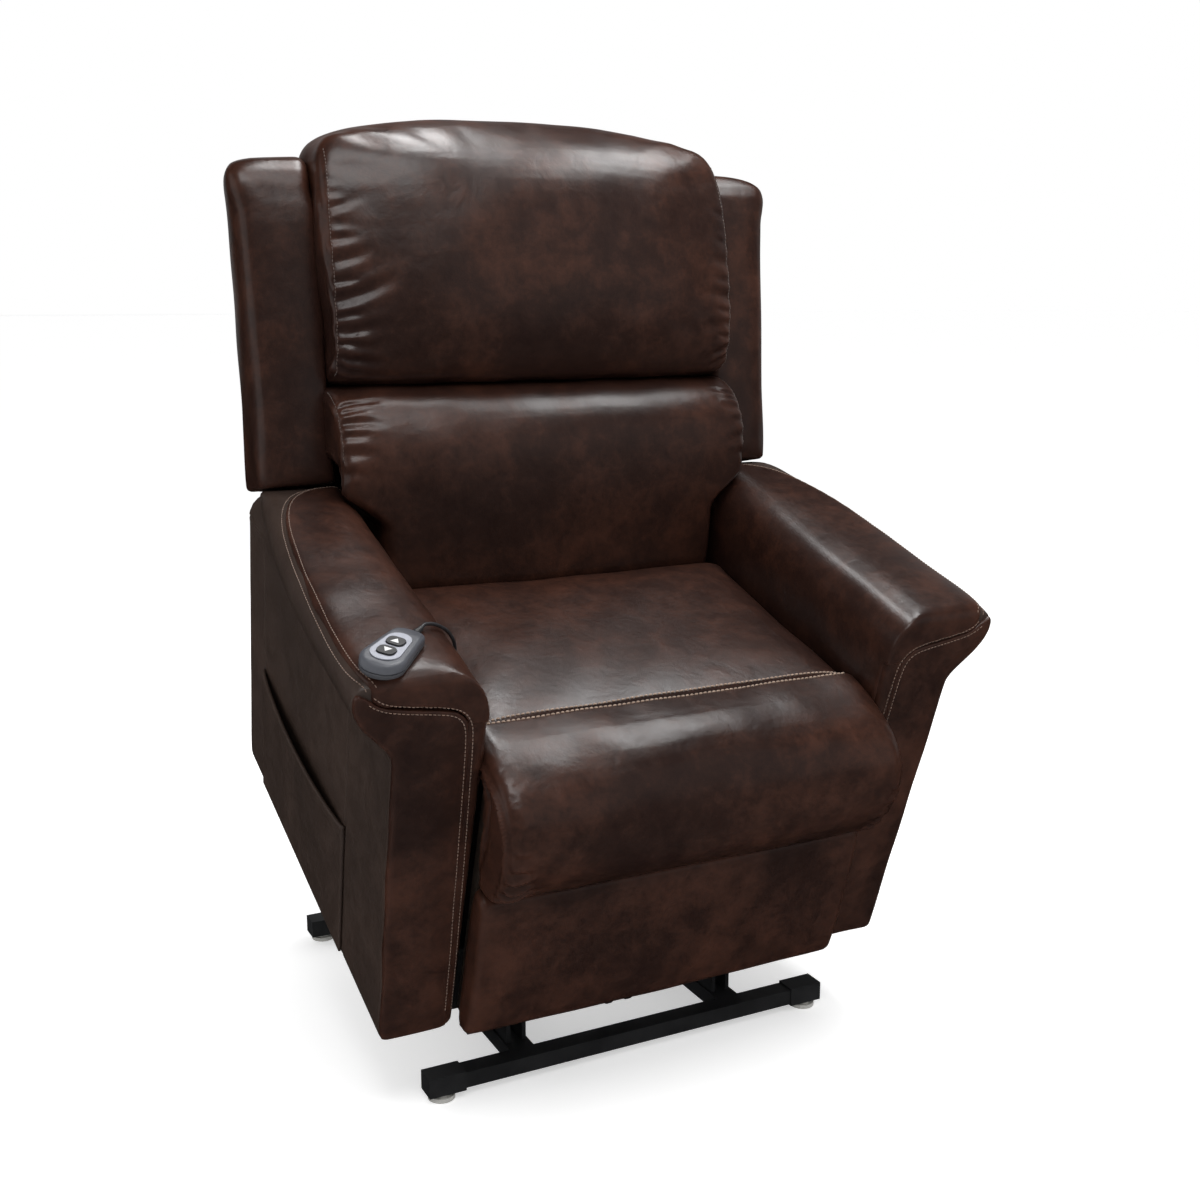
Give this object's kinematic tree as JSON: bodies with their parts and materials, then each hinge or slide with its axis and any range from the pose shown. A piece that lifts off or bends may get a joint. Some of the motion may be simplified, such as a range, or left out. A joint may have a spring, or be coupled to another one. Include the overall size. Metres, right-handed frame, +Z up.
{
  "type": "lift recliner chair",
  "caption": "Upholstered power lift recliner on a steel base, with tilting seat body, reclining winged back, folding footrest, padded flared arms, side pocket and corded handset.",
  "frame": {"origin": "on the floor below the middle of the bounding box of the part-lifted chair", "axes": "+Z up, -Y the way the sitter faces, +X to the right of someone looking at the chair's front"},
  "size_m": [0.932, 0.8639, 1.3423],
  "materials": {
    "leather": "burnished, semi-gloss, warm mottled brown",
    "side_leather": "smoother dark brown, semi-matt",
    "black_steel": "satin black powder coat",
    "bright_steel": "zinc plated",
    "glide_metal": "polished",
    "black_plastic": "fine texture",
    "cord_black": "matt sheath",
    "handset_grey": "satin grey",
    "silver_plate": "satin",
    "frame_wood": "bare plywood and hardwood"
  },
  "bodies": {
    "base": {"base_front_bar": "black_steel", "base_rear_bar": "black_steel", "base_rails": "black_steel", "base_end_sleeves": "black_plastic", "base_glides": "glide_metal", "base_arm_brackets": "black_steel", "base_guide_brackets": "black_steel", "base_actuator_clevis": "black_steel"},
    "lift_linkage": {"lift_arms": "black_steel", "torque_tube": "black_steel", "lift_horn": "black_steel"},
    "guide_linkage": {"guide_links": "black_steel"},
    "actuator": {"actuator_housing": "black_plastic", "actuator_tube": "bright_steel"},
    "actuator_ram": {"actuator_rod": "bright_steel"},
    "chair": {"chair_side_plates": "black_steel", "chair_cross_tubes": "black_steel", "chair_pivot_pins": "bright_steel", "seat_rails": "frame_wood", "seat_deck": "frame_wood", "seat_cushion": "leather", "arm_left_outer": "side_leather", "arm_left_inner": "leather", "arm_left_front": "leather", "arm_left_rear": "side_leather", "arm_left_top": "leather", "arm_right_outer": "side_leather", "arm_right_inner": "leather", "arm_right_front": "leather", "arm_right_rear": "side_leather", "arm_right_top": "leather", "side_pocket": "side_leather", "rear_skirt": "side_leather", "control_box": "black_plastic", "power_inlet": "black_plastic", "handset_lower_shell": "black_plastic", "handset_upper_shell": "handset_grey", "handset_faceplate": "silver_plate", "handset_strain_relief": "black_plastic", "handset_cord": "cord_black", "cord_gland": "black_plastic"},
    "backrest": {"back_frame": "frame_wood", "back_head_cushion": "leather", "back_lumbar_cushion": "leather", "back_wing_left": "leather", "back_wing_right": "leather", "back_outer_panel": "side_leather", "back_side_walls": "side_leather", "back_hinge_plates": "black_steel"},
    "footrest_swing": {"footrest_links_a": "black_steel", "footrest_bridge_board": "frame_wood", "footrest_bridge_pad": "leather"},
    "footrest_carry": {"footrest_links_c": "black_steel"},
    "footrest": {"footrest_board": "frame_wood", "footrest_roll_pad": "leather", "footrest_lower_pad": "leather", "footrest_brackets": "black_steel"},
    "up_button": {"button_up": "black_plastic"},
    "down_button": {"button_down": "black_plastic"}
  },
  "joints": [
    {"name": "lift", "type": "hinge", "parent": "base", "child": "lift_linkage", "pos_m": [0, -0.1314, 0.075], "axis": [1, 0, 0], "range_deg": [-33.4, 18]},
    {"name": "chair_pivot", "type": "hinge", "parent": "lift_linkage", "child": "chair", "pos_m": [0, 0.15039, 0.31025], "axis": [1, 0, 0], "range_deg": [-8.7, 16]},
    {"name": "guide_pivot", "type": "hinge", "parent": "base", "child": "guide_linkage", "pos_m": [0, -0.0914, 0.066], "axis": [1, 0, 0], "range_deg": [-32.9, 17.8]},
    {"name": "actuator_swing", "type": "hinge", "parent": "base", "child": "actuator", "pos_m": [0, 0.3646, 0.09], "axis": [1, 0, 0], "range_deg": [-0.3, 0.4]},
    {"name": "ram_stroke", "type": "slide", "parent": "actuator", "child": "actuator_ram", "axis": [0, -0.9918, 0.1277], "range_m": [-0.0455, 0.0247]},
    {"name": "back_recline", "type": "hinge", "parent": "chair", "child": "backrest", "pos_m": [0, 0.29977, 0.58803], "axis": [-1, 0, 0], "range_deg": [0, 33]},
    {"name": "footrest_open", "type": "hinge", "parent": "chair", "child": "footrest_swing", "pos_m": [0, -0.22301, 0.43368], "axis": [-1, 0, 0], "range_deg": [0, 107.5]},
    {"name": "footrest_fold", "type": "hinge", "parent": "footrest_swing", "child": "footrest_carry", "pos_m": [0, -0.13167, 0.29031], "axis": [-1, 0, 0], "range_deg": [-158.5, 0]},
    {"name": "footrest_turn", "type": "hinge", "parent": "footrest_carry", "child": "footrest", "pos_m": [0, -0.28023, 0.41564], "axis": [-1, 0, 0], "range_deg": [0, 131.6]},
    {"name": "up_press", "type": "slide", "parent": "chair", "child": "up_button", "axis": [0, 0.3007, -0.9537], "range_m": [0, 0.0015], "stiffness_N_per_m": 600, "springref_m": -0.001},
    {"name": "down_press", "type": "slide", "parent": "chair", "child": "down_button", "axis": [0, 0.3007, -0.9537], "range_m": [0, 0.0015], "stiffness_N_per_m": 600, "springref_m": -0.001}
  ],
  "couplings": [
    {"joint": "chair_pivot", "follows": "lift", "ratio": -0.4767},
    {"joint": "guide_pivot", "follows": "lift", "ratio": 0.98},
    {"joint": "actuator_swing", "follows": "lift", "ratio": -0.008},
    {"joint": "ram_stroke", "follows": "lift", "m_per_rad": 0.0773},
    {"joint": "footrest_fold", "follows": "footrest_open", "ratio": -1.4671},
    {"joint": "footrest_turn", "follows": "footrest_open", "ratio": 1.2192}
  ]
}
